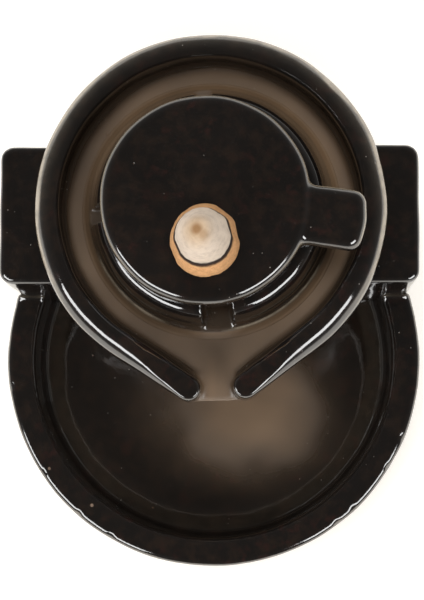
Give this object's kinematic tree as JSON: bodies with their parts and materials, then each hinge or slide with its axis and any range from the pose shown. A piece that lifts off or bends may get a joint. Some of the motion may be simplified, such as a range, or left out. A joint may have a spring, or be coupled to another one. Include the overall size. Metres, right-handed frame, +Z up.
{
  "type": "backflow incense burner",
  "caption": "Black glazed ceramic backflow incense burner shaped like a stone mill: cone on a turning millstone, spouted trough on a block stand, round catch basin.",
  "frame": {"origin": "on the table, under the middle of the whole outline", "axes": "+Z up, -Y towards the front where the basin and the spout are, +X to the right seen from the front"},
  "size_m": [0.085, 0.1024, 0.078],
  "materials": {
    "black_glaze": "glossy black glaze, browner where it is thin",
    "incense": "matte pressed powder",
    "char": "matte char",
    "ash": "matte crumbly ash"
  },
  "bodies": {
    "burner": {"basin": "black_glaze", "stand": "black_glaze", "trough": "black_glaze", "bedstone": "black_glaze"},
    "runner": {"runner_stone": "black_glaze", "turning_handle": "black_glaze"},
    "cone": {"cone_body": "incense", "char_ring": "char", "ash_cap": "ash"}
  },
  "joints": [
    {"name": "runner_turn", "type": "hinge", "parent": "burner", "child": "runner", "pos_m": [0, 0.0176, 0.0505], "axis": [0, 0, 1], "continuous": true},
    {"name": "cone_lift", "type": "slide", "parent": "runner", "child": "cone", "axis": [0, 0, 1], "range_m": [0, 0.04]}
  ]
}
